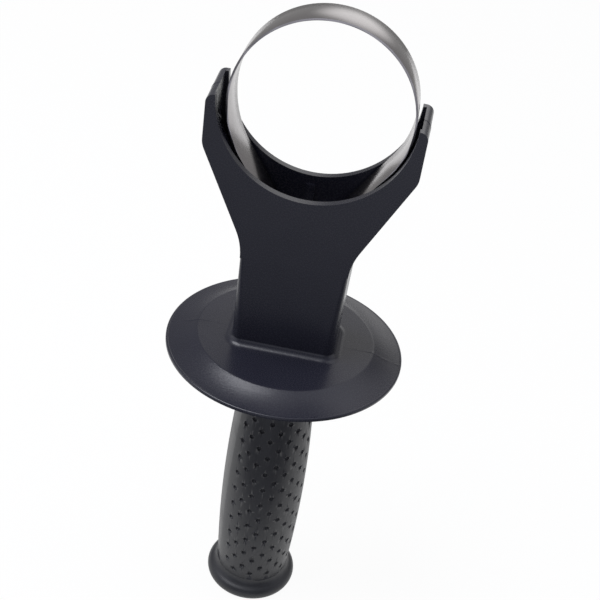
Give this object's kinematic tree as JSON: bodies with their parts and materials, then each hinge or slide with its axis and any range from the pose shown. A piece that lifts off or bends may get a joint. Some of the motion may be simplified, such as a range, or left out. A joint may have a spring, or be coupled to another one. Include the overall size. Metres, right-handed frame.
{
  "type": "power tool side handle",
  "caption": "Side handle: a steel strap loop in a forked yoke clamps a tool's round collar, with a round hand guard and a dimpled grip that screws the loop tight.",
  "frame": {"origin": "centre of the clamp strap's ring, on the axis of the tool's collar", "axes": "+Y along the collar's axis, from the front face to the back; +Z along the handle, from the grip towards the ring; +X to the right seen from the front"},
  "size_m": [0.102, 0.102, 0.2885],
  "materials": {
    "yoke_plastic": "satin",
    "strap_steel": "satin",
    "bolt_steel": "satin",
    "core_plastic": "satin",
    "grip_rubber": "matte"
  },
  "bodies": {
    "yoke": {"clamp_yoke": "yoke_plastic", "thrust_washer": "bolt_steel"},
    "clamp": {"clamp_band": "strap_steel", "clamp_bolt": "bolt_steel"},
    "grip": {"grip_core": "core_plastic", "grip_nut": "bolt_steel", "grip_sleeve": "grip_rubber"}
  },
  "joints": [
    {"name": "grip_turn", "type": "hinge", "parent": "yoke", "child": "grip", "pos_m": [-0.001, 0, -0.12], "axis": [0, 0, 1], "range_deg": [-1441, 2305]},
    {"name": "band_draw", "type": "slide", "parent": "yoke", "child": "clamp", "axis": [0, 0, 1], "range_m": [-0.008, 0.005]}
  ],
  "couplings": [
    {"joint": "grip_turn", "follows": "band_draw", "rad_per_m": -5026.5}
  ]
}
